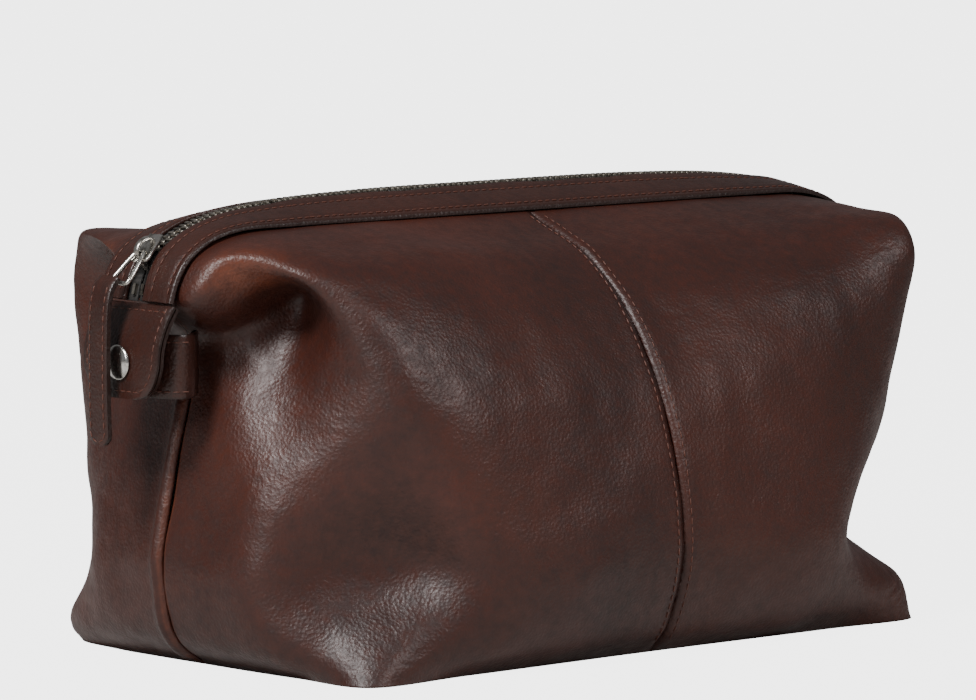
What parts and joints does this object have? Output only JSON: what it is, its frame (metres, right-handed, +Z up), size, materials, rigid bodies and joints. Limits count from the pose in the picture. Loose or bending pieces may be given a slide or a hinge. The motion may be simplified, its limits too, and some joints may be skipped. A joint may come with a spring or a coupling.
{
  "type": "wash bag",
  "caption": "Leather wash bag with gusseted ears, a zip over the top, and a snap tab with a strap loop at each end.",
  "frame": {"origin": "centre of the flat underside of the base", "axes": "+X along the length, to the end away from the resting slider; +Z up; the front faces -Y"},
  "size_m": [0.361, 0.2052, 0.1659],
  "materials": {
    "leather": "waxed pull-up leather, dark brown, lighter where it is stretched",
    "backing": "plain back layer of the tabs",
    "thread": "waxed rust brown sewing thread",
    "board": "stiffener board",
    "lining": "woven lining cloth",
    "zip_tape": "black woven zip tape",
    "zip_metal": "antique nickel",
    "snap_metal": "bright nickel"
  },
  "bodies": {
    "bag": {"front_left_panel": "leather", "front_right_panel": "leather", "back_left_panel": "leather", "back_right_panel": "leather", "base_panel": "leather", "left_end_front_strip": "leather", "left_end_back_strip": "leather", "right_end_front_strip": "leather", "right_end_back_strip": "leather", "left_strap": "leather", "right_strap": "leather", "base_board": "board", "lining": "lining", "left_end_front_tape": "zip_tape", "left_end_back_tape": "zip_tape", "right_end_front_tape": "zip_tape", "right_end_back_tape": "zip_tape", "left_end_teeth": "zip_metal", "right_end_teeth": "zip_metal", "front_top_stop": "zip_metal", "back_top_stop": "zip_metal", "bottom_stop": "zip_metal", "left_snap_stud": "snap_metal", "left_stud_rivet": "snap_metal", "right_snap_stud": "snap_metal", "right_stud_rivet": "snap_metal"},
    "front_lip": {"front_strip": "leather", "front_tape": "zip_tape", "front_teeth": "zip_metal"},
    "back_lip": {"back_strip": "leather", "back_tape": "zip_tape", "back_teeth": "zip_metal"},
    "slider": {"slider_body": "zip_metal", "slider_bridge": "zip_metal"},
    "ring": {"pull_ring": "zip_metal"},
    "pull": {"leather_pull": "leather"},
    "left_tab": {"left_tab": "leather", "left_tab_backing": "backing", "left_snap_cap": "snap_metal", "left_snap_socket": "snap_metal"},
    "right_tab": {"right_tab": "leather", "right_tab_backing": "backing", "right_snap_cap": "snap_metal", "right_snap_socket": "snap_metal"}
  },
  "joints": [
    {"name": "slider_travel", "type": "hinge", "parent": "bag", "child": "slider", "pos_m": [-0.01457, 0, -0.13326], "axis": [0, 1, 0], "range_deg": [0, 48.7], "deforming": ["front_teeth", "back_teeth", "left_end_teeth", "front_tape", "back_tape", "left_end_front_tape", "left_end_back_tape", "leather_pull"]},
    {"name": "ring_swing", "type": "hinge", "parent": "slider", "child": "ring", "pos_m": [-0.1661, 0, 0.1483], "axis": [0, 1, 0], "range_deg": [0, 38]},
    {"name": "pull_swing", "type": "hinge", "parent": "ring", "child": "pull", "pos_m": [-0.1774, 0, 0.1362], "axis": [0, 1, 0], "range_deg": [0, 100]},
    {"name": "left_tab_lift", "type": "hinge", "parent": "bag", "child": "left_tab", "pos_m": [-0.1698, 0, 0.1313], "axis": [0, 1, 0], "range_deg": [0, 90]},
    {"name": "right_tab_lift", "type": "hinge", "parent": "bag", "child": "right_tab", "pos_m": [0.1698, 0, 0.1313], "axis": [0, -1, 0], "range_deg": [0, 90]},
    {"name": "front_lip_open", "type": "hinge", "parent": "bag", "child": "front_lip", "pos_m": [0, -0.02, 0.1571], "axis": [1, 0, 0], "range_deg": [0, 95]},
    {"name": "back_lip_open", "type": "hinge", "parent": "bag", "child": "back_lip", "pos_m": [0, 0.02, 0.1571], "axis": [-1, 0, 0], "range_deg": [0, 96]}
  ],
  "couplings": [
    {"joint": "ring_swing", "follows": "slider_travel", "ratio": 0.75},
    {"joint": "pull_swing", "follows": "left_tab_lift", "ratio": 1.08},
    {"joint": "back_lip_open", "follows": "front_lip_open", "ratio": 1}
  ]
}
